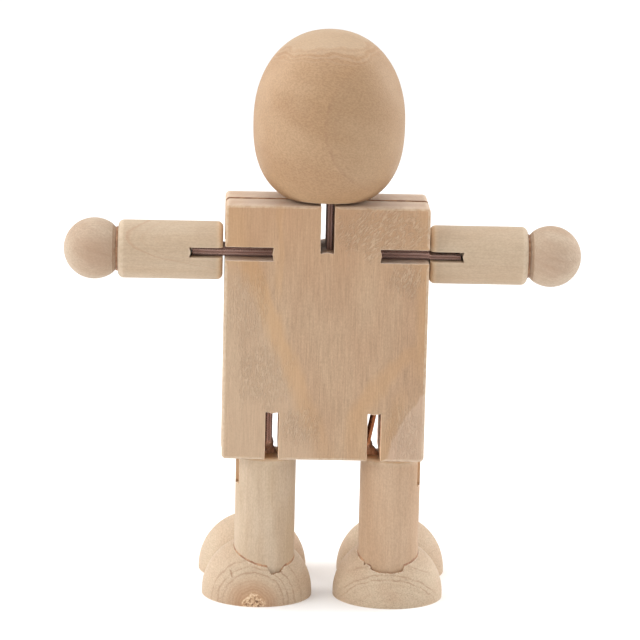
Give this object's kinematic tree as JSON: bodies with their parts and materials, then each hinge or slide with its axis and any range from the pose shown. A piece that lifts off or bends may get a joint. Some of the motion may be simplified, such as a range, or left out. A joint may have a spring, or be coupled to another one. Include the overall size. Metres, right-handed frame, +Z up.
{
  "type": "jointed wooden figure",
  "caption": "Bare wooden figure with an egg-shaped head, a slotted two-ply torso, dowel limbs on elastic straps, ball hands and half-peanut feet.",
  "frame": {"origin": "under the middle of the whole figure, on the surface that it stands on", "axes": "+Z up, +Y the way the toes point, +X towards the arm on the picture's right"},
  "size_m": [0.1018, 0.0468, 0.1143],
  "materials": {
    "torso_wood": "sanded bare pine, unsealed, with a warm heart streak",
    "head_wood": "turned and fine sanded bare wood",
    "limb_wood": "sanded bare dowel, paler than the torso",
    "foot_wood": "turned, sawn in half and lightly sanded, end grain showing",
    "elastic_strap": "dark brown woven elastic",
    "anchor_pin": "plain steel wire"
  },
  "bodies": {
    "torso": {"torso_front_plate": "torso_wood", "torso_back_plate": "torso_wood", "neck_anchor_pin": "anchor_pin", "left_shoulder_anchor_pin": "anchor_pin", "right_shoulder_anchor_pin": "anchor_pin", "left_hip_anchor_pin": "anchor_pin", "right_hip_anchor_pin": "anchor_pin"},
    "neck": {"neck_strap": "elastic_strap"},
    "head": {"head": "head_wood", "neck_peg": "limb_wood"},
    "left_shoulder": {"left_shoulder_strap": "elastic_strap"},
    "left_arm": {"left_arm": "limb_wood", "left_hand": "limb_wood"},
    "left_hip": {"left_hip_strap": "elastic_strap"},
    "left_leg": {"left_leg": "limb_wood", "left_foot": "foot_wood"},
    "right_shoulder": {"right_shoulder_strap": "elastic_strap"},
    "right_arm": {"right_arm": "limb_wood", "right_hand": "limb_wood"},
    "right_hip": {"right_hip_strap": "elastic_strap"},
    "right_leg": {"right_leg": "limb_wood", "right_foot": "foot_wood"}
  },
  "joints": [
    {"name": "neck_turn", "type": "hinge", "parent": "torso", "child": "neck", "pos_m": [0.00065, -0.00892, 0.0812], "axis": [0, 0, 1], "range_deg": [-180, 180], "deforming": ["neck_strap"]},
    {"name": "neck_tilt", "type": "hinge", "parent": "neck", "child": "head", "pos_m": [0.00065, -0.00072, 0.0812], "axis": [-1, 0, 0], "range_deg": [0, 30], "deforming": ["neck_strap"]},
    {"name": "left_shoulder_turn", "type": "hinge", "parent": "torso", "child": "left_shoulder", "pos_m": [-0.01965, -0.00892, 0.07022], "axis": [-1, 0, 0], "range_deg": [-180, 180], "deforming": ["left_shoulder_strap"]},
    {"name": "left_shoulder_swing", "type": "hinge", "parent": "left_shoulder", "child": "left_arm", "pos_m": [-0.02085, -0.00892, 0.06567], "axis": [0, -1, 0], "range_deg": [0, 88], "deforming": ["left_shoulder_strap"]},
    {"name": "right_shoulder_turn", "type": "hinge", "parent": "torso", "child": "right_shoulder", "pos_m": [0.02095, -0.00892, 0.07022], "axis": [1, 0, 0], "range_deg": [-180, 180], "deforming": ["right_shoulder_strap"]},
    {"name": "right_shoulder_swing", "type": "hinge", "parent": "right_shoulder", "child": "right_arm", "pos_m": [0.02215, -0.00892, 0.06567], "axis": [0, 1, 0], "range_deg": [0, 88], "deforming": ["right_shoulder_strap"]},
    {"name": "left_hip_turn", "type": "hinge", "parent": "torso", "child": "left_hip", "pos_m": [-0.01035, -0.00892, 0.0296], "axis": [0, 0, 1], "range_deg": [-6, 90], "deforming": ["left_hip_strap"]},
    {"name": "left_hip_swing", "type": "hinge", "parent": "left_hip", "child": "left_leg", "pos_m": [-0.01035, -0.00372, 0.0288], "axis": [1, 0, 0], "range_deg": [0, 90], "deforming": ["left_hip_strap"]},
    {"name": "right_hip_turn", "type": "hinge", "parent": "torso", "child": "right_hip", "pos_m": [0.01445, -0.00892, 0.0296], "axis": [0, 0, -1], "range_deg": [-6, 90], "deforming": ["right_hip_strap"]},
    {"name": "right_hip_swing", "type": "hinge", "parent": "right_hip", "child": "right_leg", "pos_m": [0.01445, -0.00372, 0.0288], "axis": [1, 0, 0], "range_deg": [0, 90], "deforming": ["right_hip_strap"]}
  ]
}
